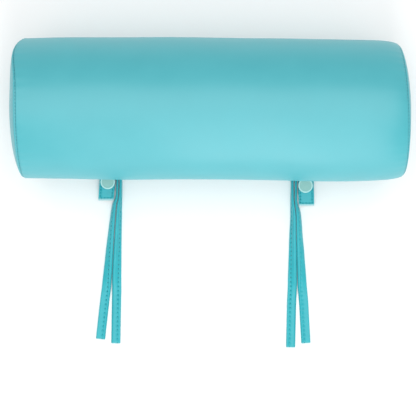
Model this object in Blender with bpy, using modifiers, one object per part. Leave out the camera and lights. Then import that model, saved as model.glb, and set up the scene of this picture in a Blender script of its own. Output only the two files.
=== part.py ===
"""Bolster pillow with two snap tabs and two pairs of tie straps.

A round foam core in a wadding wrap fills a vinyl cover: a top panel and a base panel joined along
two long seams, and a crowned panel at each end.  The front seam holds the tabs and ties, and the
back seam holds a zip.  The pillow lies on its flattened underside with its ties laid out in front.

Frame: +X along the pillow, -Y towards the ties, +Z up.  The origin is the centre of the flat
underside.  Angles round the pillow are measured from straight down, positive towards +Y.
"""
import math

import bmesh
import bpy
from mathutils import Matrix, Vector

MM = 0.001

# ---- driving dimensions -------------------------------------------------------------------------
CLEARANCE = 0.3 * MM            # between pieces that touch

# the filled cover
BOLSTER_RADIUS = 75.0 * MM
LEFT_SEAM_X = -194.0 * MM       # the end seams
RIGHT_SEAM_X = 198.0 * MM
LEFT_CROWN = 17.5 * MM          # how far each end panel stands out past its seam
RIGHT_CROWN = 13.5 * MM
REST_SINK = 2.0 * MM            # how far the underside is pressed flat
LEFT_END_TAPER = 2.0 * MM       # how much smaller the radius is at each end seam
RIGHT_END_TAPER = 5.0 * MM
TAPER_LENGTH = 30.0 * MM
SKIN = 1.2 * MM                 # vinyl with its knitted back
CORE_RADIUS = 64.0 * MM
FRONT_SEAM_ANGLE = math.radians(-38.0)
ZIP_ANGLE = math.radians(50.0)

# the zip in the back seam
LEFT_ZIP_MARGIN = 34.0 * MM     # from each end seam to the zip's nearer stop
RIGHT_ZIP_MARGIN = 38.0 * MM
ZIP_SLOT_OVERRUN = 5.0 * MM     # slot past each stop
TAPE_WIDTH = 14.0 * MM
TAPE_THICKNESS = 0.6 * MM
TAPE_OVERRUN = 12.0 * MM
COIL_WIDTH = 1.9 * MM
COIL_HEIGHT = 2.0 * MM
COIL_GAP = 0.4 * MM             # between the two closed coils
STOP_LENGTH = 4.0 * MM
SLIDER_LENGTH = 9.5 * MM
SLIDER_WALL = 0.8 * MM
SLIDER_ROOF = 1.1 * MM
SLIDER_INSET = 12.0 * MM        # slider's middle from the end of the closed zip
SLOT_MARGIN = 0.4 * MM          # slot past each side of the slider
LUG_LENGTH = 3.0 * MM
LUG_WIDTH = 1.2 * MM
LUG_HEIGHT = 2.6 * MM
PULL_PIN_RADIUS = 0.4 * MM
PULL_PIN_HOLE_RADIUS = 0.75 * MM
PULL_LENGTH = 21.0 * MM
PULL_WIDTH = 5.4 * MM
PULL_THICKNESS = 1.0 * MM

# the snap tabs
TAB_WIDTH = 17.0 * MM
TAB_THICKNESS = 1.3 * MM
TAB_FLAT_BEFORE_SNAP = 9.0 * MM
TAB_FLAT_AFTER_SNAP = 8.5 * MM
TAB_DROOP = 1.8 * MM            # how much lower the tab's end lies than its snap
ANCHOR_PAST_SNAP = 11.0 * MM

# the snaps
CAP_RADIUS = 8.0 * MM
CAP_HEIGHT = 1.7 * MM
BACK_CAP_RADIUS = 6.0 * MM
BACK_CAP_HEIGHT = 1.0 * MM
PRONG_RADIUS = 0.9 * MM
PRONG_HOLE_RADIUS = 1.3 * MM
STUD_FLANGE_RADIUS = 5.0 * MM
STUD_FLANGE_HEIGHT = 0.6 * MM
STUD_BOSS_RADIUS = 1.8 * MM
STUD_BOSS_HEIGHT = 2.1 * MM     # above its flange
SOCKET_RADIUS = 5.2 * MM
SOCKET_HEIGHT = 2.45 * MM
SOCKET_ROOF = 0.5 * MM
SOCKET_PLAY = 0.8 * MM          # round the boss

# the ties
TIE_WIDTH = 10.0 * MM
TIE_THICKNESS = 2.4 * MM
TIE_ROOT_Y = -47.0 * MM
TIE_RISE_LENGTH = 14.0 * MM     # a tie comes down to the table within this of its root
TAB_TO_TIE = 0.5 * MM           # the gap between a unit's tab and its outer tie
CAP_TO_TIE = 0.4 * MM

# Each unit: where its tab, snap and ties lie.  "side" is the way that the ties lie from the tab.
# A tie's route is a list of (y, x, turn) in mm and degrees: its lower edge, and how far the strap
# is turned up on that edge.  Both ties lean against each other, then open out flat on the table.
UNITS = {
    "left": {
        "side": 1,
        "tab_lean": -0.075,
        "snap_y": -75.4 * MM,
        "tab_end_y": -95.6 * MM,
        "outer_tie": [
            (-47, -101.8, 84), (-60, -101.8, 84), (-80, -101.8, 84), (-92, -102.6, 82),
            (-101, -106.3, 73), (-117, -108.9, 66), (-135, -111.3, 58), (-150, -113.3, 49),
            (-165, -115.0, 40), (-180, -117.0, 25), (-192, -118.4, 8), (-205, -120.1, 0),
            (-226, -122.5, 0), (-248.1, -124.9, 0),
        ],
        "inner_tie": [
            (-47, -97.0, 88), (-60, -97.0, 88), (-80, -97.0, 87), (-92, -97.0, 83),
            (-101, -97.1, 74), (-117, -97.2, 66), (-135, -97.3, 58), (-150, -97.3, 49),
            (-165, -97.3, 40), (-180, -97.2, 25), (-192, -97.0, 8), (-205, -97.3, 0),
            (-229, -97.7, 0), (-252.8, -98.1, 0),
        ],
    },
    "right": {
        "side": -1,
        "tab_lean": 0.03,
        "snap_y": -79.3 * MM,
        "tab_end_y": -101.3 * MM,
        "outer_tie": [
            (-47, 95.2, 84), (-60, 95.2, 84), (-80, 95.2, 84), (-97, 95.4, 83),
            (-107, 98.6, 72), (-117, 100.1, 67), (-135, 101.5, 59), (-150, 103.1, 50),
            (-165, 104.4, 41), (-180, 105.8, 27), (-192, 106.8, 10), (-207, 108.2, 0),
            (-230, 109.5, 0), (-252.6, 110.8, 0),
        ],
        "inner_tie": [
            (-47, 90.4, 88), (-60, 90.4, 88), (-80, 90.2, 87), (-97, 89.7, 82),
            (-107, 89.5, 73), (-117, 89.3, 67), (-135, 88.2, 59), (-150, 87.6, 50),
            (-165, 86.9, 41), (-180, 86.2, 27), (-192, 85.8, 10), (-207, 85.1, 0),
            (-232, 84.5, 0), (-257.2, 84.0, 0),
        ],
    },
}

# ---- worked out from them -----------------------------------------------------------------------
AXIS_HEIGHT = BOLSTER_RADIUS - REST_SINK
LEFT_SEAM_RADIUS = BOLSTER_RADIUS - LEFT_END_TAPER
RIGHT_SEAM_RADIUS = BOLSTER_RADIUS - RIGHT_END_TAPER
ROUND_STEPS = 64                # facets round the pillow
FACET_DEPTH = BOLSTER_RADIUS * (1 - math.cos(math.pi / ROUND_STEPS))
SEAM_GAP_ANGLE = CLEARANCE / BOLSTER_RADIUS

# the zip's layers, as distances from the pillow's axis
TAPE_TOP = math.sqrt((BOLSTER_RADIUS - SKIN) ** 2 - (TAPE_WIDTH + COIL_GAP) ** 2) - FACET_DEPTH - CLEARANCE
TAPE_BOTTOM = TAPE_TOP - TAPE_THICKNESS
COIL_BOTTOM = TAPE_TOP + CLEARANCE
COIL_TOP = COIL_BOTTOM + COIL_HEIGHT
SLIDER_TOP = COIL_TOP + CLEARANCE + SLIDER_ROOF
PULL_AXIS = SLIDER_TOP + LUG_HEIGHT / 2
COIL_OUTER = COIL_GAP / 2 + COIL_WIDTH
ZIP_SLOT_WIDTH = 2 * (COIL_OUTER + CLEARANCE + SLIDER_WALL + SLOT_MARGIN)
ZIP_START_X = LEFT_SEAM_X + LEFT_ZIP_MARGIN     # the closed end, where the slider rests
ZIP_END_X = RIGHT_SEAM_X - RIGHT_ZIP_MARGIN
SLIDER_X = ZIP_START_X + SLIDER_INSET

# the snap's layers, as heights above the table
BACK_CAP_BOTTOM = CLEARANCE
BACK_CAP_TOP = BACK_CAP_BOTTOM + BACK_CAP_HEIGHT
ANCHOR_MIDDLE = BACK_CAP_TOP + CLEARANCE + TAB_THICKNESS / 2
STUD_BOTTOM = ANCHOR_MIDDLE + TAB_THICKNESS / 2 + CLEARANCE
STUD_FLANGE_TOP = STUD_BOTTOM + STUD_FLANGE_HEIGHT
STUD_TOP = STUD_FLANGE_TOP + STUD_BOSS_HEIGHT
SOCKET_BOTTOM = STUD_FLANGE_TOP + CLEARANCE
SOCKET_TOP = SOCKET_BOTTOM + SOCKET_HEIGHT
TAB_MIDDLE = SOCKET_TOP + CLEARANCE + TAB_THICKNESS / 2
CAP_BOTTOM = TAB_MIDDLE + TAB_THICKNESS / 2 + CLEARANCE
CAP_TOP = CAP_BOTTOM + CAP_HEIGHT

# the underside of the cover above the ties' roots, and how far a root rises to meet it
COVER_OVER_ROOT = AXIS_HEIGHT - math.sqrt((BOLSTER_RADIUS + CLEARANCE) ** 2 - TIE_ROOT_Y ** 2)
TIE_RISE = COVER_OVER_ROOT - CLEARANCE - TIE_WIDTH - 0.35 * MM

for old in list(bpy.data.objects):
    bpy.data.objects.remove(old, do_unlink=True)

parts = bpy.data.collections.new("bolster_pillow")
cutters = bpy.data.collections.new("cutters")
bpy.context.scene.collection.children.link(parts)
bpy.context.scene.collection.children.link(cutters)


# ---- helpers ------------------------------------------------------------------------------------
def material(name, colour, roughness, metallic=0.0):
    made = bpy.data.materials.new(name)
    made.use_nodes = True
    shader = made.node_tree.nodes["Principled BSDF"]
    shader.inputs["Base Color"].default_value = (*colour, 1.0)
    shader.inputs["Roughness"].default_value = roughness
    shader.inputs["Metallic"].default_value = metallic
    return made


def add_object(name, mesh, surface=None, collection=parts, parent=None):
    """Link a mesh as an object, in its material, under an empty where it has one."""
    made = bpy.data.objects.new(name, mesh)
    collection.objects.link(made)
    made.parent = parent
    if surface:
        mesh.materials.clear()
        mesh.materials.append(surface)
    return made


def empty(name, location, turn=(0.0, 0.0, 0.0), parent=None):
    made = bpy.data.objects.new(name, None)
    parts.objects.link(made)
    made.location = location
    made.rotation_euler = turn
    made.parent = parent
    return made


def box_mesh(name, low, high):
    """A box between two corners."""
    shape = bmesh.new()
    bmesh.ops.create_cube(shape, size=1.0)
    size = [b - a for a, b in zip(low, high)]
    middle = [(a + b) / 2 for a, b in zip(low, high)]
    place = Matrix.Translation(middle) @ Matrix.Diagonal((*size, 1.0))
    bmesh.ops.transform(shape, matrix=place, verts=shape.verts)
    mesh = bpy.data.meshes.new(name)
    shape.to_mesh(mesh)
    shape.free()
    return mesh


def rod_mesh(name, start, end, radius, sides=24):
    """A plain cylinder between two points."""
    start, end = Vector(start), Vector(end)
    along = end - start
    turn = along.to_track_quat("Z", "Y").to_matrix().to_4x4()
    shape = bmesh.new()
    bmesh.ops.create_cone(
        shape, cap_ends=True, segments=sides, radius1=radius, radius2=radius, depth=along.length,
        matrix=Matrix.Translation((start + end) / 2) @ turn,
    )
    mesh = bpy.data.meshes.new(name)
    shape.to_mesh(mesh)
    shape.free()
    return mesh


def cutter(name, mesh, parent=None):
    made = add_object(name, mesh, collection=cutters, parent=parent)
    made.hide_render = True
    made.display_type = "WIRE"
    return made


def boolean(target, tool, operation="DIFFERENCE"):
    step = target.modifiers.new(tool.name, "BOOLEAN")
    step.operation = operation
    step.object = tool
    step.solver = "EXACT"


def solidify(target, thickness, offset):
    step = target.modifiers.new("thickness", "SOLIDIFY")
    step.thickness = thickness
    step.offset = offset
    step.use_even_offset = True


def turned_mesh(name, profile, axis="Z", start=0.0, sweep=2 * math.pi, steps=32):
    """Turn a profile of (along, radius) points about X or Z, with its faces pointing outwards.

    About X the turn is measured from straight down towards +Y."""
    mesh = bpy.data.meshes.new(name + "_profile")
    if axis == "X":
        points = [(a, r * math.sin(start), -r * math.cos(start)) for a, r in profile]
    else:
        points = [(r, 0.0, a) for a, r in profile]
    mesh.from_pydata(points, [(i, i + 1) for i in range(len(points) - 1)], [])
    guide = bpy.data.objects.new(name + "_profile", mesh)
    parts.objects.link(guide)
    screw = guide.modifiers.new("turn", "SCREW")
    screw.axis = axis
    screw.angle = sweep
    screw.steps = steps
    screw.render_steps = steps
    screw.use_merge_vertices = True
    screw.merge_threshold = 0.00001
    bpy.context.view_layer.update()
    depsgraph = bpy.context.evaluated_depsgraph_get()
    result = bpy.data.meshes.new_from_object(guide.evaluated_get(depsgraph))
    bpy.data.objects.remove(guide, do_unlink=True)
    result.name = name
    return result


def face_outwards(mesh, closed):
    """Point a closed mesh's faces out, or an open skin's faces away from the pillow's axis."""
    shape = bmesh.new()
    shape.from_mesh(mesh)
    bmesh.ops.remove_doubles(shape, verts=shape.verts, dist=0.00001)
    if closed:
        bmesh.ops.recalc_face_normals(shape, faces=shape.faces)
    else:
        middle = Vector((LEFT_SEAM_X + RIGHT_SEAM_X, 0.0, 0.0)) / 2
        outwards = 0.0
        for face in shape.faces:
            face.normal_update()
            outwards += face.normal.dot(face.calc_center_median() - middle) * face.calc_area()
        if outwards < 0:
            bmesh.ops.reverse_faces(shape, faces=shape.faces)
    shape.to_mesh(mesh)
    shape.free()


def place_on_axis(mesh, lowest):
    """Lift a skin turned about X to the pillow's axis, and press it flat on the table."""
    for vertex in mesh.vertices:
        vertex.co.z = max(vertex.co.z + AXIS_HEIGHT, lowest)


def shade_smooth(target):
    for face in target.data.polygons:
        face.use_smooth = True
    target.data.set_sharp_from_angle(angle=math.radians(35))


def on_cover(angle, distance):
    """(y, z) of a point at an angle round the pillow, and a distance from its axis."""
    return distance * math.sin(angle), AXIS_HEIGHT - distance * math.cos(angle)


def smooth_route(points, per_span):
    """Points of a Catmull-Rom curve through tuples of any length."""
    ends = [
        tuple(2 * a - b for a, b in zip(points[0], points[1])),
        tuple(2 * a - b for a, b in zip(points[-1], points[-2])),
    ]
    path = [ends[0], *points, ends[1]]
    route = []
    for p0, p1, p2, p3 in zip(path, path[1:], path[2:], path[3:]):
        for step in range(per_span):
            t = step / per_span
            route.append(tuple(
                b + t / 2 * (c - a + t * (2 * a - 5 * b + 4 * c - d + t * (3 * (b - c) + d - a)))
                for a, b, c, d in zip(p0, p1, p2, p3)
            ))
    route.append(tuple(points[-1]))
    return route


def strap(name, edges, thickness, surface, parent=None):
    """A flat strap between two edge lines, thickened about its middle."""
    origin = parent.matrix_world.translation if parent else Vector()
    points = [Vector(p) - origin for pair in edges for p in pair]
    faces = [(2 * i, 2 * i + 1, 2 * i + 3, 2 * i + 2) for i in range(len(edges) - 1)]
    mesh = bpy.data.meshes.new(name)
    mesh.from_pydata(points, [], faces)
    made = add_object(name, mesh, surface, parent=parent)
    solidify(made, thickness, 0.0)
    return made


# ---- materials ----------------------------------------------------------------------------------
vinyl = material("turquoise_vinyl", (0.13, 0.55, 0.62), 0.45)
strap_vinyl = material("turquoise_strap_vinyl", (0.07, 0.50, 0.55), 0.45)
foam = material("cream_foam", (0.86, 0.80, 0.62), 0.95)
wadding = material("white_wadding", (0.90, 0.90, 0.88), 0.98)
tape_cloth = material("turquoise_zip_tape", (0.10, 0.45, 0.50), 0.9)
coil_plastic = material("turquoise_zip_coil", (0.10, 0.48, 0.53), 0.5)
zip_metal = material("zip_nickel", (0.62, 0.62, 0.60), 0.3, 1.0)
snap_plastic = material("pale_snap_plastic", (0.58, 0.79, 0.72), 0.35)


# ---- the cover ----------------------------------------------------------------------------------
def sleeve_profile():
    """Outer (x, radius) of the sleeve between the end seams: a straight tube, rounded in at both ends."""
    steps = 4
    left, right = [], []
    for i in range(steps + 1):
        t = 1 - i / steps
        left.append((LEFT_SEAM_X + TAPER_LENGTH * (1 - t), BOLSTER_RADIUS - LEFT_END_TAPER * t * t))
        right.append((RIGHT_SEAM_X - TAPER_LENGTH * (1 - t), BOLSTER_RADIUS - RIGHT_END_TAPER * t * t))
    return left + right[::-1]


def sleeve_panel(name, start, end):
    sweep = end - start
    steps = round(ROUND_STEPS * sweep / (2 * math.pi))
    mesh = turned_mesh(name, sleeve_profile(), "X", start, sweep, steps)
    face_outwards(mesh, closed=False)
    place_on_axis(mesh, 0.0)
    made = add_object(name, mesh, vinyl)
    solidify(made, SKIN, -1.0)
    shade_smooth(made)
    return made


def end_profile(crown, seam_radius):
    """(out past the seam, radius) of an end panel: a short straight rim, then a soft crown."""
    rim = SKIN
    steps = 7
    profile = [(CLEARANCE, seam_radius)]
    for i in range(steps + 1):
        turn = i / steps * math.pi / 2
        out = rim + (crown - rim) * math.sin(turn) ** 0.9
        profile.append((out, seam_radius * math.cos(turn) ** 0.72))
    profile[-1] = (crown, 0.0)
    return profile


def end_panel(name, seam_x, way, crown, seam_radius):
    profile = [(seam_x + way * out, radius) for out, radius in end_profile(crown, seam_radius)]
    mesh = turned_mesh(name, profile, "X", 0.0, 2 * math.pi, ROUND_STEPS)
    face_outwards(mesh, closed=False)
    place_on_axis(mesh, 0.0)
    made = add_object(name, mesh, vinyl)
    solidify(made, SKIN, -1.0)
    shade_smooth(made)
    return made


half_gap = SEAM_GAP_ANGLE / 2
top_panel = sleeve_panel("cover_top_panel", ZIP_ANGLE + half_gap, 2 * math.pi + FRONT_SEAM_ANGLE - half_gap)
base_panel = sleeve_panel("cover_base_panel", FRONT_SEAM_ANGLE + half_gap, ZIP_ANGLE - half_gap)
end_panel("left_end_panel", LEFT_SEAM_X, -1, LEFT_CROWN, LEFT_SEAM_RADIUS)
end_panel("right_end_panel", RIGHT_SEAM_X, 1, RIGHT_CROWN, RIGHT_SEAM_RADIUS)


# ---- the filling --------------------------------------------------------------------------------
def out_at(outline, radius):
    """How far out past the seam an end panel's outline has narrowed to a radius."""
    crown = outline[1:]
    wider = max(i for i, (_, r) in enumerate(crown) if r >= radius)
    (out, wide), (next_out, narrow) = crown[wider], crown[wider + 1]
    return out + (next_out - out) * (wide - radius) / (wide - narrow)


def core_end(seam_x, way, crown, seam_radius):
    """The core's domed end: the end panel's inside, one clearance in, out to the core's radius."""
    outline = end_profile(crown, seam_radius)
    inset = SKIN + CLEARANCE
    dome = []
    for before, here, after in zip(outline[1:], outline[2:], outline[3:] + [(crown, -outline[-2][1])]):
        slope = Vector((after[0] - before[0], after[1] - before[1])).normalized()
        out, radius = here[0] + slope.y * inset, max(here[1] - slope.x * inset, 0.0)
        if radius < CORE_RADIUS - inset:
            dome.append((seam_x + way * out, radius))
    rim_out = out_at(outline, CORE_RADIUS + inset) - inset
    return [(seam_x + way * rim_out, CORE_RADIUS)] + dome


def foam_core():
    left = core_end(LEFT_SEAM_X, -1, LEFT_CROWN, LEFT_SEAM_RADIUS)
    right = core_end(RIGHT_SEAM_X, 1, RIGHT_CROWN, RIGHT_SEAM_RADIUS)
    mesh = turned_mesh("foam_core", left[::-1] + right, "X", 0.0, 2 * math.pi, ROUND_STEPS // 2)
    face_outwards(mesh, closed=True)
    place_on_axis(mesh, 0.0)
    shade_smooth(add_object("foam_core", mesh, foam))


def wadding_wrap(groove):
    """The wadding fills the space between the core and the sleeve, with a relief under the zip."""
    depth = SKIN + CLEARANCE
    outside = [(x, radius - depth) for x, radius in sleeve_profile()]
    inside = [(x, CORE_RADIUS + CLEARANCE) for x in (RIGHT_SEAM_X, LEFT_SEAM_X)]
    mesh = turned_mesh("wadding_wrap", outside + inside + outside[:1], "X", 0.0, 2 * math.pi, ROUND_STEPS)
    face_outwards(mesh, closed=True)
    place_on_axis(mesh, depth)
    made = add_object("wadding_wrap", mesh, wadding)
    boolean(made, groove)


# ---- the zip, on an empty whose -Z points straight out of the back seam ---------------------------
zip_frame = empty("zip_frame", (0.0, 0.0, AXIS_HEIGHT), (ZIP_ANGLE, 0.0, 0.0))


def zip_box(name, x_span, y_span, inner, outer):
    """A box in the zip's frame, between two distances from the pillow's axis."""
    low = (x_span[0], min(y_span), -outer)
    high = (x_span[1], max(y_span), -inner)
    return box_mesh(name, low, high)


def zip_span(extra):
    """The zip from stop to stop, and this much more at each end."""
    return ZIP_START_X - extra, ZIP_END_X + extra


slot_side = ZIP_SLOT_WIDTH / 2
relief_side = TAPE_WIDTH + COIL_GAP + 2 * CLEARANCE
beyond = BOLSTER_RADIUS + 10 * MM
slot_mesh = zip_box("zip_slot", zip_span(ZIP_SLOT_OVERRUN), (-slot_side, slot_side), CORE_RADIUS, beyond)
relief_span = zip_span(TAPE_OVERRUN + CLEARANCE), (-relief_side, relief_side)
relief_mesh = zip_box("tape_relief", *relief_span, TAPE_BOTTOM - CLEARANCE, beyond)
slot = cutter("zip_slot", slot_mesh, zip_frame)
boolean(top_panel, slot)
boolean(base_panel, slot)
foam_core()
wadding_wrap(cutter("tape_relief", relief_mesh, zip_frame))

for side_name, side in (("upper", 1), ("lower", -1)):
    tape_span = (side * COIL_GAP / 2, side * (COIL_GAP / 2 + TAPE_WIDTH))
    coil_span = (side * COIL_GAP / 2, side * COIL_OUTER)
    stop_span = (ZIP_START_X, ZIP_START_X + STOP_LENGTH)
    tape = zip_box("zip_tape", zip_span(TAPE_OVERRUN), tape_span, TAPE_BOTTOM, TAPE_TOP)
    coil = zip_box("zip_coil", zip_span(-STOP_LENGTH - CLEARANCE), coil_span, COIL_BOTTOM, COIL_TOP)
    stop = zip_box("zip_top_stop", stop_span, coil_span, COIL_BOTTOM, COIL_TOP)
    add_object(f"zip_tape_{side_name}", tape, tape_cloth, parent=zip_frame)
    add_object(f"zip_coil_{side_name}", coil, coil_plastic, parent=zip_frame)
    add_object(f"zip_top_stop_{side_name}", stop, zip_metal, parent=zip_frame)

end_span = (ZIP_END_X - STOP_LENGTH, ZIP_END_X)
bottom_stop = zip_box("zip_bottom_stop", end_span, (-COIL_OUTER, COIL_OUTER), COIL_BOTTOM, COIL_TOP)
add_object("zip_bottom_stop", bottom_stop, zip_metal, parent=zip_frame)


def zip_slider():
    """A channel that rides on both coils, with a lug for the pull, built about the slider's middle."""
    half_inner = COIL_OUTER + CLEARANCE
    half_outer = half_inner + SLIDER_WALL
    half_length = SLIDER_LENGTH / 2
    half_lug, half_lug_width = LUG_LENGTH / 2, LUG_WIDTH / 2
    skirt = COIL_BOTTOM + CLEARANCE
    roof_inside = COIL_TOP + CLEARANCE
    lug_foot = SLIDER_TOP - SLIDER_ROOF / 2
    lug_top = SLIDER_TOP + LUG_HEIGHT
    seat = empty("zip_slider_seat", (SLIDER_X, 0.0, 0.0), parent=zip_frame)
    block = zip_box("zip_slider", (-half_length, half_length), (-half_outer, half_outer), skirt, SLIDER_TOP)
    through, inside = (-SLIDER_LENGTH, SLIDER_LENGTH), (-half_inner, half_inner)
    channel = zip_box("slider_channel", through, inside, CORE_RADIUS, roof_inside)
    lug_span, lug_side = (-half_lug, half_lug), (-half_lug_width, half_lug_width)
    lug = zip_box("slider_lug", lug_span, lug_side, lug_foot, lug_top)
    eye_ends = (0.0, -PULL_WIDTH, -PULL_AXIS), (0.0, PULL_WIDTH, -PULL_AXIS)
    eye = rod_mesh("slider_eye", *eye_ends, PULL_PIN_HOLE_RADIUS, 16)
    body = add_object("zip_slider", block, zip_metal, parent=seat)
    boolean(body, cutter("slider_channel", channel, seat))
    boolean(body, cutter("slider_lug", lug, seat), "UNION")
    boolean(body, cutter("slider_eye", eye, seat))
    return seat


def zip_pull(seat):
    """A flat tab with a forked end, and a pin across the fork through the slider's lug."""
    hinge = empty("zip_pull_hinge", (0.0, 0.0, -PULL_AXIS), parent=seat)
    half_width, half_thick = PULL_WIDTH / 2, PULL_THICKNESS / 2
    half_fork = LUG_WIDTH / 2 + CLEARANCE
    half_pin = half_width - CLEARANCE
    back = -2 * PULL_PIN_RADIUS
    fork_end = LUG_LENGTH / 2 + 3 * CLEARANCE + half_thick + PULL_PIN_RADIUS
    plate = box_mesh("zip_pull", (back, -half_width, -half_thick), (PULL_LENGTH, half_width, half_thick))
    fork = box_mesh("pull_fork", (2 * back, -half_fork, -PULL_WIDTH), (fork_end, half_fork, PULL_WIDTH))
    pin = rod_mesh("pull_pin", (0.0, -half_pin, 0.0), (0.0, half_pin, 0.0), PULL_PIN_RADIUS, 12)
    body = add_object("zip_pull", plate, zip_metal, parent=hinge)
    boolean(body, cutter("pull_fork", fork, hinge))
    boolean(body, cutter("pull_pin", pin, hinge), "UNION")


zip_pull(zip_slider())


# ---- tabs, snaps and ties -----------------------------------------------------------------------
def beside_tie(unit, distance):
    """X of a point this far from the face of a unit's outer tie, on the tab's side of it."""
    return unit["outer_tie"][0][1] * MM - unit["side"] * (TIE_THICKNESS / 2 + distance)


def tab_edges(unit, route):
    """Both edges of a tab along its (y, z) route; past the snap it leans sideways."""
    edges = []
    tab_x = beside_tie(unit, TAB_TO_TIE + TAB_WIDTH / 2)
    for y, z in route:
        x = tab_x + unit["tab_lean"] * max(unit["snap_y"] - y, 0.0)
        edges.append(((x - TAB_WIDTH / 2, y, z), (x + TAB_WIDTH / 2, y, z)))
    return edges


def tab_route(unit, root_angle, level, end_y, end_z):
    """From the front seam down to a flat stretch at the snap, and on to the tab's end."""
    leave = BOLSTER_RADIUS + CLEARANCE
    snap_y = unit["snap_y"]
    flat_from = snap_y + TAB_FLAT_BEFORE_SNAP
    flat_to = snap_y - TAB_FLAT_AFTER_SNAP
    root = on_cover(root_angle, leave)
    knee = on_cover(root_angle, leave + 3.5 * MM)
    fall = (knee[0] * 0.45 + flat_from * 0.55, knee[1] * 0.22 + level * 0.78)
    points = [root, knee, fall, (flat_from, level), (flat_to, level), (end_y, end_z)]
    spans = smooth_route(points, 4)
    flat = [p for p in spans if not flat_to < p[0] < flat_from]
    return sorted(flat, key=lambda p: -p[0])


def tie_edges(points, side):
    """Both edges of a tie: its lower edge near the table, and the edge that is turned up."""
    edges = []
    root_y = points[0][0] * MM
    for y, x, turn in smooth_route(points, 3):
        y, x, turn = y * MM, x * MM, math.radians(max(turn, 0.0))
        low = CLEARANCE + TIE_THICKNESS / 2 * math.cos(turn) + 0.05 * MM
        near_root = max(0.0, 1 - (root_y - y) / TIE_RISE_LENGTH)
        low += TIE_RISE * near_root ** 2
        high = low + TIE_WIDTH * math.sin(turn)
        edges.append(((x, y, low), (x + side * TIE_WIDTH * math.cos(turn), y, high)))
    return edges


def turned_piece(name, profile, surface, place, parent):
    """A small round piece from a closed (height, radius) profile."""
    mesh = turned_mesh(name, profile, "Z", steps=20)
    face_outwards(mesh, closed=True)
    made = add_object(name, mesh, surface, parent=parent)
    made.location = Vector((*place, 0.0)) - (parent.matrix_world.translation if parent else Vector())
    shade_smooth(made)
    return made


def prong_hole(target, name, place, middle):
    """The hole that a snap's prong passes through."""
    low, high = (*place, middle - 2 * TAB_THICKNESS), (*place, middle + 2 * TAB_THICKNESS)
    boolean(target, cutter(name, rod_mesh(name, low, high, PRONG_HOLE_RADIUS)))


def snap_pieces(side_name, place, anchor_hinge, tab_hinge):
    edge = 0.4 * MM
    back_cap = [
        (BACK_CAP_BOTTOM, 0.0), (BACK_CAP_BOTTOM, BACK_CAP_RADIUS - edge),
        (BACK_CAP_BOTTOM + edge, BACK_CAP_RADIUS), (BACK_CAP_TOP, BACK_CAP_RADIUS - edge),
        (BACK_CAP_TOP, PRONG_RADIUS),
        (STUD_FLANGE_TOP + CLEARANCE, PRONG_RADIUS), (STUD_FLANGE_TOP + CLEARANCE, 0.0),
    ]
    hole = PRONG_RADIUS + CLEARANCE
    bore_top = STUD_FLANGE_TOP + 2 * CLEARANCE
    stud = [
        (STUD_TOP, 0.0), (STUD_TOP, STUD_BOSS_RADIUS - edge), (STUD_TOP - edge, STUD_BOSS_RADIUS),
        (STUD_FLANGE_TOP, STUD_BOSS_RADIUS), (STUD_FLANGE_TOP, STUD_FLANGE_RADIUS),
        (STUD_BOTTOM, STUD_FLANGE_RADIUS), (STUD_BOTTOM, hole), (bore_top, hole), (bore_top, 0.0),
    ]
    recess = STUD_BOSS_RADIUS + SOCKET_PLAY
    roof = SOCKET_TOP - SOCKET_ROOF
    socket = [
        (SOCKET_TOP, hole), (SOCKET_TOP, SOCKET_RADIUS - edge), (SOCKET_TOP - edge, SOCKET_RADIUS),
        (SOCKET_BOTTOM, SOCKET_RADIUS), (SOCKET_BOTTOM, recess), (roof, recess), (roof, hole),
        (SOCKET_TOP, hole),
    ]
    prong_end = STUD_TOP + CLEARANCE
    cap = [
        (CAP_TOP, 0.0), (CAP_TOP - 0.1 * MM, CAP_RADIUS * 0.7), (CAP_TOP - edge, CAP_RADIUS - 2 * edge),
        (CAP_BOTTOM + edge, CAP_RADIUS), (CAP_BOTTOM, CAP_RADIUS - edge / 2),
        (CAP_BOTTOM, PRONG_RADIUS), (prong_end, PRONG_RADIUS), (prong_end, 0.0),
    ]
    turned_piece(f"{side_name}_snap_back_cap", back_cap, snap_plastic, place, anchor_hinge)
    turned_piece(f"{side_name}_snap_stud", stud, snap_plastic, place, anchor_hinge)
    turned_piece(f"{side_name}_snap_socket", socket, snap_plastic, place, tab_hinge)
    turned_piece(f"{side_name}_snap_cap", cap, snap_plastic, place, tab_hinge)


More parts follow.
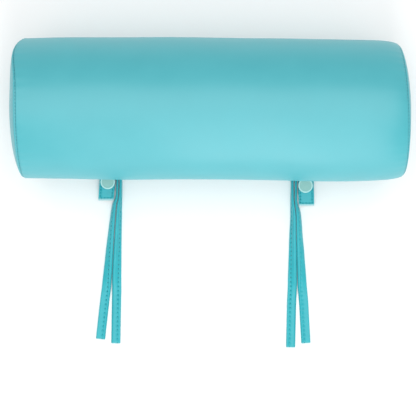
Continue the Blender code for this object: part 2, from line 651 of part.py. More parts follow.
def tie_unit(side_name, unit):
    """One unit in the front seam: the anchor tab below, the snap tab above it, and two ties."""
    snap_x, snap_y = beside_tie(unit, CAP_TO_TIE + CAP_RADIUS), unit["snap_y"]
    apart = (TAB_THICKNESS + 2 * CLEARANCE) / 2 / BOLSTER_RADIUS
    anchor_angle, tab_angle = FRONT_SEAM_ANGLE + apart, FRONT_SEAM_ANGLE - apart
    anchor_end = snap_y - ANCHOR_PAST_SNAP
    anchor_route = tab_route(unit, anchor_angle, ANCHOR_MIDDLE, anchor_end, ANCHOR_MIDDLE)
    snap_route = tab_route(unit, tab_angle, TAB_MIDDLE, unit["tab_end_y"], TAB_MIDDLE - TAB_DROOP)
    fold_line = on_cover(tab_angle - TAB_THICKNESS / 2 / BOLSTER_RADIUS, BOLSTER_RADIUS + CLEARANCE)
    anchor_hinge = empty(f"{side_name}_anchor_hinge", (snap_x, *fold_line))
    tab_hinge = empty(f"{side_name}_tab_hinge", (snap_x, *fold_line))
    tie_hinges = {}
    for tie_name in ("outer_tie", "inner_tie"):
        root_x = unit[tie_name][0][1] * MM
        tie_hinges[tie_name] = empty(
            f"{side_name}_{tie_name}_hinge", (root_x, TIE_ROOT_Y, COVER_OVER_ROOT - CLEARANCE))
    bpy.context.view_layer.update()

    anchor_edges, snap_edges = tab_edges(unit, anchor_route), tab_edges(unit, snap_route)
    anchor = strap(f"{side_name}_anchor_tab", anchor_edges, TAB_THICKNESS, strap_vinyl, anchor_hinge)
    tab = strap(f"{side_name}_snap_tab", snap_edges, TAB_THICKNESS, strap_vinyl, tab_hinge)
    prong_hole(anchor, f"{side_name}_anchor_hole", (snap_x, snap_y), ANCHOR_MIDDLE)
    prong_hole(tab, f"{side_name}_tab_hole", (snap_x, snap_y), TAB_MIDDLE)
    snap_pieces(side_name, (snap_x, snap_y), anchor_hinge, tab_hinge)
    for tie_name, way in (("outer_tie", unit["side"]), ("inner_tie", -unit["side"])):
        edges = tie_edges(unit[tie_name], way)
        strap(f"{side_name}_{tie_name}", edges, TIE_THICKNESS, strap_vinyl, tie_hinges[tie_name])


for side_name, unit in UNITS.items():
    tie_unit(side_name, unit)
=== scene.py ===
"""A turquoise vinyl bolster pillow with two snap tabs and two pairs of tie straps.

The sections follow the pillow as it is put together: the ties, the sewn cover, its filling, the zip
in the back seam, the snap tabs and the snaps.  Lengths are in metres.  +X runs along the pillow and
-Y towards its ties.  Angles round the pillow are measured from straight down, positive towards +Y.
"""
import math

import bmesh
import bpy
import numpy as np
from mathutils import Matrix, Vector


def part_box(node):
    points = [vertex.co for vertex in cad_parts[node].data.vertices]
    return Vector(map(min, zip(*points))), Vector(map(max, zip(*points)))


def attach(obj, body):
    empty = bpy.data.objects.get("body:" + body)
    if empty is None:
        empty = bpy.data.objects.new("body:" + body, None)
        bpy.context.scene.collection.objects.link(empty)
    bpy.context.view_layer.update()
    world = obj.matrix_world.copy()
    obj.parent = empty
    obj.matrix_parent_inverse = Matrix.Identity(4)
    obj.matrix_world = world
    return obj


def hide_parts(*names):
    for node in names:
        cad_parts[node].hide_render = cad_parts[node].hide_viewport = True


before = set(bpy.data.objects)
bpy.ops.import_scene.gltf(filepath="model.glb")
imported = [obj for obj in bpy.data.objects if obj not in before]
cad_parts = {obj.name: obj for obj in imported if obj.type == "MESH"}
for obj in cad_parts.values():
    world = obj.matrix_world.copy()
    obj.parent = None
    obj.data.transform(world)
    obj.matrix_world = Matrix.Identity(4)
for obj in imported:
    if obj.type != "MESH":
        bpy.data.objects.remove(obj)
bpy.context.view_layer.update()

MM = 0.001
scene = bpy.context.scene

# ---- Table, light and camera --------------------------------------------------------------------
# The pillow lies on a white table and is seen from straight above through a long lens.  One broad
# soft light stands on the tie side and one hangs overhead, with pale, even light from all round.
TABLE_SIZE = 12.0
TABLE_DROP = 0.3 * MM           # the table's top, below the pillow's lowest point
camera_data = bpy.data.cameras.new("camera")
camera_data.lens = 120
camera_data.sensor_width = 36
camera_data.clip_end = 20
camera = bpy.data.objects.new("camera", camera_data)
scene.collection.objects.link(camera)
camera.location = (-0.0018, -0.104, 1.525)
scene.camera = camera
scene.view_settings.view_transform = "Standard"


def soft_light(name, place, aim, size, power):
    lamp = bpy.data.lights.new(name, "AREA")
    lamp.shape = "RECTANGLE"
    lamp.size, lamp.size_y = size
    lamp.energy = power
    made = bpy.data.objects.new(name, lamp)
    scene.collection.objects.link(made)
    made.location = place
    made.rotation_euler = (Vector(aim) - Vector(place)).to_track_quat("-Z", "Y").to_euler()


soft_light("key", (0.10, -1.12, 0.78), (0.03, 0.0, 0.07), (0.42, 2.0), 8.8)
soft_light("overhead", (0.0, 0.2, 2.6), (0.0, 0.0, 0.0), (2.4, 2.4), 28.5)

world = bpy.data.worlds.new("studio")
world.use_nodes = True
world.node_tree.nodes["Background"].inputs["Color"].default_value = (1.0, 1.0, 1.0, 1.0)
world.node_tree.nodes["Background"].inputs["Strength"].default_value = 0.66
scene.world = world

table_white = bpy.data.materials.new("table_white")
table_white.use_nodes = True
table_shader = table_white.node_tree.nodes["Principled BSDF"]
table_shader.inputs["Base Color"].default_value = (0.90, 0.90, 0.90, 1.0)
table_shader.inputs["Roughness"].default_value = 0.9
table_shader.inputs["Specular IOR Level"].default_value = 0.0
table_shader.inputs["Emission Color"].default_value = (1.0, 1.0, 1.0, 1.0)
table_shader.inputs["Emission Strength"].default_value = 0.09
table_mesh = bpy.data.meshes.new("table")
table_shape = bmesh.new()
table_place = Matrix.Translation((0.0, 0.0, -TABLE_DROP))
bmesh.ops.create_grid(
    table_shape, x_segments=1, y_segments=1, size=TABLE_SIZE / 2, matrix=table_place)
table_shape.to_mesh(table_mesh)
table_shape.free()
table_mesh.materials.append(table_white)
table = bpy.data.objects.new("table", table_mesh)
scene.collection.objects.link(table)

# ---- Tie straps ---------------------------------------------------------------------------------
# Each tie is a strip of vinyl folded in on itself to about 10 mm wide and sewn down its length.
# The root is sewn into the front seam, and the free end is cut square and left raw.
COVER_RADIUS = 75.0 * MM
AXIS_HEIGHT = 73.0 * MM
TOUCH_GAP = 0.3 * MM
TIE_WIDTH = 10.0 * MM
TIE_THICKNESS = 2.4 * MM
TIE_ROOT_Y = -47.0 * MM
ROOT_RISE_LENGTH = 14.0 * MM
TIE_STITCH_PITCH = 4.75 * MM
TIE_SEAM_ACROSS = 1.5 * MM      # from the strap's middle, towards its sewn edge
RAW_TIE_END = 0.9 * MM
TIE_BELLY = 1.05 * MM           # how much fuller the fold is where the tie turns over
TIE_ROUTE_STEPS = 36            # sections between two points of a route
FOLD_FROM, SLOPE_FROM = 0.4, 0.33       # shares of the width, from the strap's middle
EDGE_DROP = 1.7 * MM            # how far the turned-up edge slopes down
SEAM_PRESSED = 0.35 * MM
TIE_THREAD_SUNK = 0.75 * MM
HOLE_DEPTH, HOLE_RADIUS = 0.8 * MM, 0.85 * MM
STRAP_LOWEST = 0.12 * MM

# Each route's points are (y, x, turn) in mm and degrees: the lower edge, and the turn up on it.
# The way is the side that the strap turns up towards.
TIES = {
    "left_outer_tie": (1, [
        (-47, -101.8, 84), (-60, -101.8, 84), (-80, -101.8, 84), (-92, -102.6, 82),
        (-101, -106.3, 73), (-117, -108.9, 66), (-135, -111.3, 58), (-150, -113.3, 49),
        (-165, -115.0, 40), (-180, -117.0, 25), (-192, -118.4, 8), (-205, -120.1, 0),
        (-226, -122.5, 0), (-248.1, -124.9, 0),
    ]),
    "left_inner_tie": (-1, [
        (-47, -97.0, 88), (-60, -97.0, 88), (-80, -97.0, 87), (-92, -97.0, 83),
        (-101, -97.1, 74), (-117, -97.2, 66), (-135, -97.3, 58), (-150, -97.3, 49),
        (-165, -97.3, 40), (-180, -97.2, 25), (-192, -97.0, 8), (-205, -97.3, 0),
        (-229, -97.7, 0), (-252.8, -98.1, 0),
    ]),
    "right_outer_tie": (-1, [
        (-47, 95.2, 84), (-60, 95.2, 84), (-80, 95.2, 84), (-97, 95.4, 83),
        (-107, 98.6, 72), (-117, 100.1, 67), (-135, 101.5, 59), (-150, 103.1, 50),
        (-165, 104.4, 41), (-180, 105.8, 27), (-192, 106.8, 10), (-207, 108.2, 0),
        (-230, 109.5, 0), (-252.6, 110.8, 0),
    ]),
    "right_inner_tie": (1, [
        (-47, 90.4, 88), (-60, 90.4, 88), (-80, 90.2, 87), (-97, 89.7, 82),
        (-107, 89.5, 73), (-117, 89.3, 67), (-135, 88.2, 59), (-150, 87.6, 50),
        (-165, 86.9, 41), (-180, 86.2, 27), (-192, 85.8, 10), (-207, 85.1, 0),
        (-232, 84.5, 0), (-257.2, 84.0, 0),
    ]),
}


def start_material(name):
    """A new material, with its nodes, links, shader and object coordinates."""
    made = bpy.data.materials.new(name)
    made.use_nodes = True
    nodes, links = made.node_tree.nodes, made.node_tree.links
    place = nodes.new("ShaderNodeTexCoord").outputs["Object"]
    return made, nodes, links, nodes["Principled BSDF"], place


def colour_by(nodes, links, shader, value, low, high):
    """Run the base colour from low to high as a value goes from 0 to 1."""
    tint = nodes.new("ShaderNodeMix")
    tint.data_type = "RGBA"
    tint.inputs["A"].default_value = (*low, 1.0)
    tint.inputs["B"].default_value = (*high, 1.0)
    links.new(value, tint.inputs["Factor"])
    links.new(tint.outputs["Result"], shader.inputs["Base Color"])


def roughen_by(nodes, links, shader, value, low, high):
    """Run the roughness from low to high as a value goes from 0 to 1."""
    gloss = nodes.new("ShaderNodeMapRange")
    gloss.inputs["To Min"].default_value = low
    gloss.inputs["To Max"].default_value = high
    links.new(value, gloss.inputs["Value"])
    links.new(gloss.outputs["Result"], shader.inputs["Roughness"])


def raise_by(nodes, links, shader, value, depth):
    """Raise fine relief where a value is high."""
    bump = nodes.new("ShaderNodeBump")
    bump.inputs["Distance"].default_value = depth
    links.new(value, bump.inputs["Height"])
    links.new(bump.outputs["Normal"], shader.inputs["Normal"])
    return bump


def vinyl_material(name, deep, pale, roughness, shine, grain, grain_depth, mottle):
    """Smooth coated vinyl: a slow drift of colour and gloss, with a fine pebbled grain."""
    made, nodes, links, shader, place = start_material(name)
    drift = nodes.new("ShaderNodeTexNoise")
    drift.inputs["Scale"].default_value = 1.0 / mottle
    drift.inputs["Detail"].default_value = 4.0
    links.new(place, drift.inputs["Vector"])
    colour_by(nodes, links, shader, drift.outputs["Fac"], deep, pale)
    roughen_by(nodes, links, shader, drift.outputs["Fac"], roughness - 0.05, roughness + 0.06)
    shader.inputs["Specular IOR Level"].default_value = shine

    pebble = nodes.new("ShaderNodeTexVoronoi")
    pebble.feature = "SMOOTH_F1"
    pebble.inputs["Scale"].default_value = 1.0 / grain
    links.new(place, pebble.inputs["Vector"])
    pores = nodes.new("ShaderNodeTexNoise")
    pores.inputs["Scale"].default_value = 3.0 / grain
    links.new(place, pores.inputs["Vector"])
    relief = nodes.new("ShaderNodeMath")
    relief.operation = "MULTIPLY_ADD"
    relief.inputs[1].default_value = 0.35
    links.new(pores.outputs["Fac"], relief.inputs[0])
    links.new(pebble.outputs["Distance"], relief.inputs[2])
    bump = raise_by(nodes, links, shader, relief.outputs["Value"], grain_depth)
    bump.inputs["Strength"].default_value = 0.6
    return made


def thread_material(name, shadow, light):
    """Twisted sewing thread, its twist painted in bands of shadow and light."""
    made, nodes, links, shader, place = start_material(name)
    twist = nodes.new("ShaderNodeTexWave")
    twist.bands_direction = "DIAGONAL"
    twist.inputs["Scale"].default_value = 900.0
    links.new(place, twist.inputs["Vector"])
    colour_by(nodes, links, shader, twist.outputs["Fac"], shadow, light)
    shader.inputs["Roughness"].default_value = 0.6
    return made


def knit_material(name, yarn, gaps, stitch):
    """The raw knitted backing that shows where vinyl is cut, coloured pale as a painted highlight on the
    cut ends.
    """
    made, nodes, links, shader, place = start_material(name)
    loops = nodes.new("ShaderNodeTexVoronoi")
    loops.inputs["Scale"].default_value = 1.0 / stitch
    links.new(place, loops.inputs["Vector"])
    colour_by(nodes, links, shader, loops.outputs["Distance"], yarn, gaps)
    bump = raise_by(nodes, links, shader, loops.outputs["Distance"], 0.15 * MM)
    bump.invert = True
    shader.inputs["Roughness"].default_value = 0.9
    return made


strap_vinyl = vinyl_material(
    "strap_vinyl", (0.012, 0.38, 0.44), (0.03, 0.46, 0.52), 0.40, 0.5, 0.9 * MM, 0.05 * MM, 9 * MM)
# The tie thread is painted dark. Each stitch sits sunk in a needle hole and stands in for the shade down
# the hole.
hole_shade_thread = thread_material("painted_hole_shade_thread", (0.0, 0.10, 0.13), (0.01, 0.20, 0.24))
# The cut ends show knitted backing, painted pale to stand in for the highlight along those ends.
cut_knit_and_highlight = knit_material("pale_cut_edge_painted_highlight", (0.46, 0.76, 0.78), (0.28, 0.58, 0.62), 0.7 * MM)


def smooth_route(points, per_span):
    """Points of a Catmull-Rom curve through tuples of any length."""
    first = tuple(2 * a - b for a, b in zip(points[0], points[1]))
    last = tuple(2 * a - b for a, b in zip(points[-1], points[-2]))
    path = [first, *points, last]
    route = []
    for p0, p1, p2, p3 in zip(path, path[1:], path[2:], path[3:]):
        for step in range(per_span):
            t = step / per_span
            route.append(tuple(
                b + t / 2 * (c - a + t * (2 * a - 5 * b + 4 * c - d + t * (3 * (b - c) + d - a)))
                for a, b, c, d in zip(p0, p1, p2, p3)
            ))
    route.append(tuple(points[-1]))
    return route


def skin_mesh(name, rows, wrap=False, start_pole=None, end_pole=None):
    """A skin over rows of points: each row closed round or not, with a fan to a pole at an end."""
    count, wide = len(rows), len(rows[0])
    points = [tuple(p) for row in rows for p in row]
    faces = [
        (i * wide + j, i * wide + (j + 1) % wide, (i + 1) * wide + (j + 1) % wide, (i + 1) * wide + j)
        for i in range(count - 1) for j in range(wide if wrap else wide - 1)
    ]
    for pole, row in ((start_pole, 0), (end_pole, count - 1)):
        if pole is not None:
            points.append(tuple(pole))
            fan = [(row * wide + j, row * wide + (j + 1) % wide) for j in range(wide)]
            faces += [(b, a, len(points) - 1) if row == 0 else (a, b, len(points) - 1) for a, b in fan]
    mesh = bpy.data.meshes.new(name)
    mesh.from_pydata(points, [], faces)
    return mesh


def face_out(mesh):
    """Point a closed mesh's faces outwards."""
    shape = bmesh.new()
    shape.from_mesh(mesh)
    bmesh.ops.recalc_face_normals(shape, faces=shape.faces)
    shape.to_mesh(mesh)
    shape.free()


def add_piece(name, mesh, body, slot, *surfaces):
    """Link a mesh in its materials, shaded smooth, to move with a body."""
    made = bpy.data.objects.new(name, mesh)
    scene.collection.objects.link(made)
    for surface in surfaces:
        if surface.name not in mesh.materials:
            mesh.materials.append(surface)
    mesh.shade_smooth()
    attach(made, body)
    return made


def strap_mesh(name, frames, section, holes, raw_from):
    """Sweep a section along frames of (centre, across, up, run), dimpled at its needle holes.

    The section is a closed ring of (across, up).  Holes are (run, across), on both faces.  Faces
    past the run raw_from take the second material.  A strap that leans has a fuller underside."""
    holes = np.array(holes)
    across, up = np.array(section).T
    face = np.sign(up) * (np.abs(up) > 0.2 * np.abs(up).max())
    rows = []
    for centre, way, out, run in frames:
        apart = (holes[:, :1] - run) ** 2 + (holes[:, 1:] - across) ** 2
        dimple = HOLE_DEPTH * np.exp(-apart / HOLE_RADIUS ** 2).sum(axis=0)
        belly = TIE_BELLY * 2 * abs(way[0] * way[2]) * (face < 0)
        height = up - dimple * face - belly
        points = np.array(centre) + np.outer(across, way) + np.outer(height, out)
        points[:, 2] = np.maximum(points[:, 2], STRAP_LOWEST)
        rows.append(points)
    mesh = skin_mesh(name, rows, wrap=True, start_pole=frames[0][0], end_pole=frames[-1][0])
    runs = np.array([run for *_, run in frames])
    raw = np.zeros(len(mesh.polygons), dtype=int)
    raw[:(len(runs) - 1) * len(section)] = np.repeat(runs[:-1] > raw_from, len(section))
    raw[-len(section):] = 1
    mesh.polygons.foreach_set("material_index", raw)
    face_out(mesh)
    return mesh


def stitch_tree():
    """A node tree that lays a rounded stitch at every pitch along a line.

    The line's points carry the direction "up", away from the sewn face."""
    tree = bpy.data.node_groups.new("row_of_stitches", "GeometryNodeTree")
    tree.interface.new_socket("Line", in_out="INPUT", socket_type="NodeSocketGeometry")
    for name in ("Pitch", "Length", "Width", "Height"):
        tree.interface.new_socket(name, in_out="INPUT", socket_type="NodeSocketFloat")
    tree.interface.new_socket("Thread", in_out="INPUT", socket_type="NodeSocketMaterial")
    tree.interface.new_socket("Stitches", in_out="OUTPUT", socket_type="NodeSocketGeometry")
    nodes, links = tree.nodes, tree.links
    given, made = nodes.new("NodeGroupInput"), nodes.new("NodeGroupOutput")
    curve = nodes.new("GeometryNodeMeshToCurve")
    links.new(given.outputs["Line"], curve.inputs["Mesh"])
    spaced = nodes.new("GeometryNodeResampleCurve")
    spaced.mode = "LENGTH"
    links.new(curve.outputs["Curve"], spaced.inputs["Curve"])
    links.new(given.outputs["Pitch"], spaced.inputs["Length"])
    bead = nodes.new("GeometryNodeMeshUVSphere")
    bead.inputs["Segments"].default_value = 8
    bead.inputs["Rings"].default_value = 6
    bead.inputs["Radius"].default_value = 0.5
    size = nodes.new("ShaderNodeCombineXYZ")
    for axis, name in (("X", "Length"), ("Y", "Width"), ("Z", "Height")):
        links.new(given.outputs[name], size.inputs[axis])
    up = nodes.new("GeometryNodeInputNamedAttribute")
    up.data_type = "FLOAT_VECTOR"
    up.inputs["Name"].default_value = "up"
    along = nodes.new("GeometryNodeInputTangent")
    turn = nodes.new("FunctionNodeAxesToRotation")
    turn.primary_axis, turn.secondary_axis = "Z", "X"
    links.new(up.outputs["Attribute"], turn.inputs["Primary Axis"])
    links.new(along.outputs["Tangent"], turn.inputs["Secondary Axis"])
    sewn = nodes.new("GeometryNodeInstanceOnPoints")
    links.new(spaced.outputs["Curve"], sewn.inputs["Points"])
    links.new(bead.outputs["Mesh"], sewn.inputs["Instance"])
    links.new(turn.outputs["Rotation"], sewn.inputs["Rotation"])
    links.new(size.outputs["Vector"], sewn.inputs["Scale"])
    real = nodes.new("GeometryNodeRealizeInstances")
    links.new(sewn.outputs["Instances"], real.inputs["Geometry"])
    coat = nodes.new("GeometryNodeSetMaterial")
    links.new(real.outputs["Geometry"], coat.inputs["Geometry"])
    links.new(given.outputs["Thread"], coat.inputs["Material"])
    links.new(coat.outputs["Geometry"], made.inputs["Stitches"])
    return tree


stitch_row = stitch_tree()


def run_tree(name, tree, mesh, settings):
    """Run a node tree on a mesh with named settings, and keep the result as a plain mesh."""
    guide = bpy.data.objects.new(name + "_guide", mesh)
    scene.collection.objects.link(guide)
    step = guide.modifiers.new("make", "NODES")
    step.node_group = tree
    for socket in tree.interface.items_tree:
        if socket.name in settings:
            step[socket.identifier] = settings[socket.name]
    bpy.context.view_layer.update()
    depsgraph = bpy.context.evaluated_depsgraph_get()
    result = bpy.data.meshes.new_from_object(guide.evaluated_get(depsgraph))
    bpy.data.objects.remove(guide, do_unlink=True)
    result.name = name
    return result


def sew(name, body, slot, thread, lines, pitch, length, width, height):
    """Stitch along lines of (point, up) pairs, as one piece of thread on one body."""
    points, edges, ups = [], [], []
    for line in lines:
        edges += [(len(points) + i, len(points) + i + 1) for i in range(len(line) - 1)]
        points += [tuple(point) for point, _ in line]
        ups += [tuple(up) for _, up in line]
    mesh = bpy.data.meshes.new(name + "_line")
    mesh.from_pydata(points, edges, [])
    mesh.attributes.new("up", "FLOAT_VECTOR", "POINT").data.foreach_set("vector", np.ravel(ups))
    settings = {"Pitch": pitch, "Length": length, "Width": width, "Height": height, "Thread": thread}
    return add_piece(name, run_tree(name, stitch_row, mesh, settings), body, slot, thread)


def runs_along(points):
    """How far along a line each of its points is."""
    steps = np.linalg.norm(np.diff(np.array(points), axis=0), axis=1)
    return np.concatenate([[0.0], np.cumsum(steps)])


def tie_frames(route, way, per_span):
    """(centre, across, up, run) along a tie.  Across points to the edge that is turned up."""
    cover_over_root = AXIS_HEIGHT - math.sqrt((COVER_RADIUS + TOUCH_GAP) ** 2 - TIE_ROOT_Y ** 2)
    rise = cover_over_root - TOUCH_GAP - TIE_WIDTH - 0.35 * MM
    centres, acrosses = [], []
    for y, x, turn in smooth_route(route, per_span):
        turn = math.radians(max(turn, 0.0))
        low = TOUCH_GAP + TIE_THICKNESS / 2 * math.cos(turn) + 0.05 * MM
        low += rise * max(0.0, 1 - (TIE_ROOT_Y - y * MM) / ROOT_RISE_LENGTH) ** 2
        across = Vector((way * math.cos(turn), 0.0, math.sin(turn)))
        centres.append(Vector((x * MM, y * MM, low)) + across * TIE_WIDTH / 2)
        acrosses.append(across)
    runs = runs_along(centres)
    frames = []
    for i, (centre, across) in enumerate(zip(centres, acrosses)):
        along = centres[min(i + 1, len(centres) - 1)] - centres[max(i - 1, 0)]
        up = (way * along.cross(across)).normalized()
        frames.append((centre, (way * up.cross(along)).normalized(), up, runs[i]))
    return frames


def tie_section(sewn_side):
    """The folded strap cut across: full at its plain edge, sloping down at the turned-up edge."""
    half, thick = TIE_WIDTH / 2, TIE_THICKNESS / 2
    top, bottom = [], []
    shares = np.concatenate([[-0.5, -0.49, -0.47], np.arange(-0.44, 0.46, 0.05), [0.48, 0.5]])
    for a in shares * TIE_WIDTH:
        fold = max(0.0, (-a / TIE_WIDTH - FOLD_FROM) / (0.5 - FOLD_FROM))
        slope = max(0.0, (a / TIE_WIDTH - SLOPE_FROM) / (0.5 - SLOPE_FROM))
        pressed = SEAM_PRESSED * math.exp(-((a - sewn_side * TIE_SEAM_ACROSS) / MM) ** 2)
        rounded = math.sqrt(max(0.0, 1 - fold ** 2))
        top.append((a, thick * rounded - EDGE_DROP * slope ** 1.5 - pressed))
        bottom.append((a, -thick * math.sqrt(max(0.0, 1 - (abs(a) / half) ** 8))))
    return top + bottom[-2:0:-1]


def make_tie(name, way, route):
    """A tie swept along its route, with its holes and thread."""
    frames = tie_frames(route, way, TIE_ROUTE_STEPS)
    towards_middle = 1 if name.startswith("left") else -1
    sewn_side = way * towards_middle
    seam = [centre + across * sewn_side * TIE_SEAM_ACROSS for centre, across, _, _ in frames]
    seam_runs = runs_along(seam)
    spaces = int(seam_runs[-1] / TIE_STITCH_PITCH)
    hole_runs = np.interp(
        np.linspace(0.0, seam_runs[-1], spaces + 1), seam_runs, [run for *_, run in frames])
    holes = [(run, sewn_side * TIE_SEAM_ACROSS) for run in hole_runs]
    length = frames[-1][3]
    body = name.replace("_tie", "_strap")
    mesh = strap_mesh(name, frames, tie_section(sewn_side), holes, length - RAW_TIE_END)
    strap = add_piece(name + "_strap", mesh, body, "strap_vinyl", strap_vinyl, cut_knit_and_highlight)
    lift = TIE_THICKNESS / 2 - TIE_THREAD_SUNK
    line = [(point + up * lift, up) for point, (_, _, up, _) in zip(seam, frames)]
    # Dark thread sunk into the needle holes, as painted shade in them.
    thread = sew(name + "_stitches", body, "strap_vinyl", hole_shade_thread, [line[2:-2]], TIE_STITCH_PITCH,
                 2.0 * MM, 1.0 * MM, 0.8 * MM)
    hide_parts(name)


for tie_name, (tie_way, tie_route) in TIES.items():
    make_tie(tie_name, tie_way, tie_route)

# ---- Sewn cover ---------------------------------------------------------------------------------
# A top and a base panel make the sleeve, and a crowned panel closes each end.  They are vinyl on a
# knitted back, sewn face to face and turned out, so every seam is a groove between rolled edges.
COVER_THICKNESS = 1.0 * MM
FRONT_SEAM = math.radians(-38.0)
ZIP_SEAM = math.radians(50.0)
ZIP_REACH = 165.0 * MM          # half the zip's opening, along the pillow
ZIP_OPENING = 3.6 * MM          # half its width
SEAM_DEPTH = 1.5 * MM
SEAM_HAIRLINE = 0.12 * MM       # from a sleeve seam to each panel's edge
END_STITCH_PITCH = 3.5 * MM
END_THREAD_INSET = 0.9 * MM
# The cover is laid out in rows: 0 and 110 are the tips, and 15 and 95 are the end seams.
LEFT_SEAM_ROW, RIGHT_SEAM_ROW, LAST_ROW = 15.0, 95.0, 110.0
SLEEVE_LENGTH = 392.0 * MM      # for spacing the sleeve's rows
END_COLUMNS = 192
LOWEST = 0.05 * MM              # no part of the cover is below this
# The filled shape, in mm.  The left seam bows out at its back, and the right seam slants.
LEFT_SEAM_X, LEFT_SEAM_BOW = -195.5, 4.5
RIGHT_SEAM_X, RIGHT_SEAM_SLANT = 200.0, 3.0
LEFT_CROWN, RIGHT_CROWN = 11.6, 8.0
LEFT_PULL_IN, RIGHT_PULL_IN, RIGHT_TAPER = 1.2, 4.4, 1.5
LEFT_LEAN, RIGHT_LEAN = 0.2, -1.9       # how far the top lies over towards the back
PUCKER, DENT = 0.45, 0.22

cover_vinyl = vinyl_material(
    "cover_vinyl", (0.048, 0.41, 0.47), (0.064, 0.45, 0.51), 0.40, 0.85, 1.1 * MM, 0.03 * MM, 26 * MM)
seam_thread = thread_material("seam_thread", (0.015, 0.24, 0.30), (0.05, 0.36, 0.42))


def hump(turn, middle, width):
    away = (turn - math.radians(middle) + math.pi) % (2 * math.pi) - math.pi
    return np.exp(-(away / math.radians(width)) ** 2)


def ease(t):
    t = np.clip(t, 0.0, 1.0)
    return t * t * (3 - 2 * t)


def cover_shape(row, turn, inset=0.0):
    """Points on the filled cover at rows and angles round it, or this far inside it."""
    row, turn, inset = np.broadcast_arrays(row, turn, inset)
    left_part = np.clip(row / LEFT_SEAM_ROW, 0.0, 1.0)
    right_part = np.clip((LAST_ROW - row) / (LAST_ROW - RIGHT_SEAM_ROW), 0.0, 1.0)
    along = np.clip((row - LEFT_SEAM_ROW) / (RIGHT_SEAM_ROW - LEFT_SEAM_ROW), 0.0, 1.0)
    left_seam = (LEFT_SEAM_X - LEFT_SEAM_BOW * hump(turn, 132, 22) * left_part ** 3) * MM
    right_seam = (RIGHT_SEAM_X - RIGHT_SEAM_SLANT * np.sin(turn) * right_part) * MM
    x = left_seam + inset + (right_seam - left_seam - 2 * inset) * along
    from_left, from_right = (x - left_seam) / MM, (right_seam - x) / MM
    narrowing = LEFT_PULL_IN * np.exp(-from_left / 30) + RIGHT_PULL_IN * np.exp(-from_right / 8)
    narrowing = narrowing + RIGHT_TAPER * np.exp(-from_right / 40)
    radius = COVER_RADIUS - narrowing * MM - inset
    left_crown = (LEFT_CROWN - 0.6 * left_part * np.sin(turn)) * MM
    right_crown = (RIGHT_CROWN + 3.0 * right_part * np.sin(turn)) * MM
    x = x - left_crown * (1 - left_part ** 2.5) ** 0.8
    x = x + right_crown * (1 - right_part ** 2) ** 0.8

    to_left = np.where(row < LEFT_SEAM_ROW, (1 - left_part) * COVER_RADIUS / MM, from_left)
    to_right = np.where(row > RIGHT_SEAM_ROW, (1 - right_part) * COVER_RADIUS / MM, from_right)
    wave = np.sin(43 * turn + 1.6 * np.sin(3 * turn)) * (0.65 + 0.35 * np.sin(5 * turn + 1.0))
    pucker = PUCKER * wave * (np.exp(-to_left / 8) + np.exp(-to_right / 8))
    away_from_zip = 1 - hump(turn, 50, 18)
    dents = np.sin(x / (31 * MM) + 2 * turn + 0.7) + np.sin(x / (19 * MM) - 3 * turn + 2.1)
    radius = radius + (pucker + DENT * dents * away_from_zip) * MM
    radius = radius * left_part * right_part
    y = radius * np.sin(turn)
    z = AXIS_HEIGHT - radius * np.cos(turn)
    lean = LEFT_LEAN * ease(-x / 0.19) + RIGHT_LEAN * ease(x / 0.12)
    y = y + lean * MM * ease((z - 30 * MM) / (35 * MM))
    z = 0.5 * (z + np.sqrt(z ** 2 + (0.35 * MM) ** 2))
    return np.stack([x, y, z], axis=-1)


SIM_ROWS, SIM_COLUMNS, SIM_FRAMES = 111, 96, 20
SIM_START_INSET = 0.8 * MM
RESTING_COLUMNS = 3             # held on the table, either side of the lowest line
SWELL_LIMIT = 1.6 * MM


def swelling():
    """How the sewn skin swells under the filling's pressure, by row and column, from a cloth run."""
    moved = np.zeros((SIM_ROWS, SIM_COLUMNS, 3))
    rows = np.arange(SIM_ROWS, dtype=float)[:, None]
    turns = np.arange(SIM_COLUMNS)[None, :] * 2 * math.pi / SIM_COLUMNS
    sewn = cover_shape(rows, turns)
    start = cover_shape(rows, turns, SIM_START_INSET)
    mesh = skin_mesh("cover_cloth", start[1:-1], True, start[0, 0], start[-1, 0])
    cloth_piece = bpy.data.objects.new("cover_cloth", mesh)
    scene.collection.objects.link(cloth_piece)
    held = cloth_piece.vertex_groups.new(name="held")
    for i in range(1, SIM_ROWS - 1):
        for j in range(SIM_COLUMNS):
            resting = min(j, SIM_COLUMNS - j) <= RESTING_COLUMNS
            if i in (LEFT_SEAM_ROW, RIGHT_SEAM_ROW) or resting:
                held.add([(i - 1) * SIM_COLUMNS + j], 1.0, "REPLACE")
    cloth = cloth_piece.modifiers.new("cloth", "CLOTH")
    cloth.settings.quality = 6
    cloth.settings.mass = 0.3
    cloth.settings.tension_stiffness = 40
    cloth.settings.compression_stiffness = 40
    cloth.settings.bending_stiffness = 2.0
    cloth.settings.use_pressure = True
    cloth.settings.uniform_pressure_force = 4.0
    cloth.settings.vertex_group_mass = "held"
    cloth.settings.effector_weights.gravity = 0.0
    cloth.collision_settings.use_collision = False
    cloth.point_cache.frame_start, cloth.point_cache.frame_end = 1, SIM_FRAMES
    for step in range(1, SIM_FRAMES + 1):
        scene.frame_set(step)
    depsgraph = bpy.context.evaluated_depsgraph_get()
    ended = cloth_piece.evaluated_get(depsgraph).to_mesh()
    after = np.empty(len(ended.vertices) * 3)
    ended.vertices.foreach_get("co", after)
    after = after.reshape(-1, 3)
    scene.frame_set(1)
    bpy.data.objects.remove(cloth_piece, do_unlink=True)
    moved[1:-1] = after[:-2].reshape(SIM_ROWS - 2, SIM_COLUMNS, 3) - start[1:-1]
    moved[0], moved[-1] = after[-2] - start[0, 0], after[-1] - start[-1, 0]
    size = np.linalg.norm(moved, axis=-1, keepdims=True)
    return moved * np.minimum(1.0, SWELL_LIMIT / np.maximum(size, 1e-9)) + start - sewn


swell = swelling()


def cubic_weights(t):
    """The shares of four neighbours in a smooth curve, this far past the second."""
    return [(-t + 2 * t ** 2 - t ** 3) / 2, (2 - 5 * t ** 2 + 3 * t ** 3) / 2,
            (t + 4 * t ** 2 - 3 * t ** 3) / 2, (t ** 3 - t ** 2) / 2]


